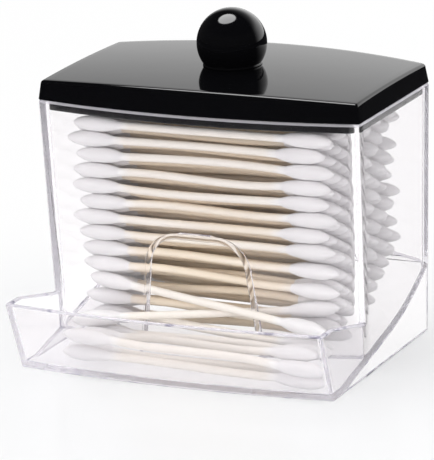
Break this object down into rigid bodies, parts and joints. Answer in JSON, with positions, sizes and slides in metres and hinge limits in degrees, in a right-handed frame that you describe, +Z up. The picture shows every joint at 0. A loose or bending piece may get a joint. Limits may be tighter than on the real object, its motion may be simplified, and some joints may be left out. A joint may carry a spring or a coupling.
{
  "type": "cotton swab holder",
  "caption": "Clear box with an arched front window, a tray that swabs slide out into and a lift-off lid with a ball knob, shown full of cotton swabs",
  "frame": {"origin": "centre of the bottom of the whole object's box, on the surface it stands on", "axes": "+X to the right of the tray's front, +Y to the back, away from the tray, +Z up; the tray's front faces -Y"},
  "size_m": [0.095, 0.0826, 0.0931],
  "materials": {
    "clear_plastic": "gloss, transparent",
    "black_plastic": "gloss",
    "cotton_swab": "matt cotton on a paper stick"
  },
  "bodies": {
    "holder": {"holder": "clear_plastic", "swab_row_1": "cotton_swab", "swab_row_2": "cotton_swab", "swab_row_3": "cotton_swab", "swab_row_4": "cotton_swab", "swab_row_5": "cotton_swab", "swab_row_6": "cotton_swab", "swab_row_7": "cotton_swab", "swab_row_8": "cotton_swab", "swab_row_9": "cotton_swab", "swab_row_10": "cotton_swab", "swab_row_11": "cotton_swab", "swab_row_12": "cotton_swab", "swab_row_13": "cotton_swab", "loose_swabs": "cotton_swab"},
    "lid": {"lid": "black_plastic", "knob": "black_plastic"}
  },
  "joints": [
    {"name": "lid_lift", "type": "slide", "parent": "holder", "child": "lid", "axis": [0, 0, 1], "range_m": [0, 0.06]}
  ]
}
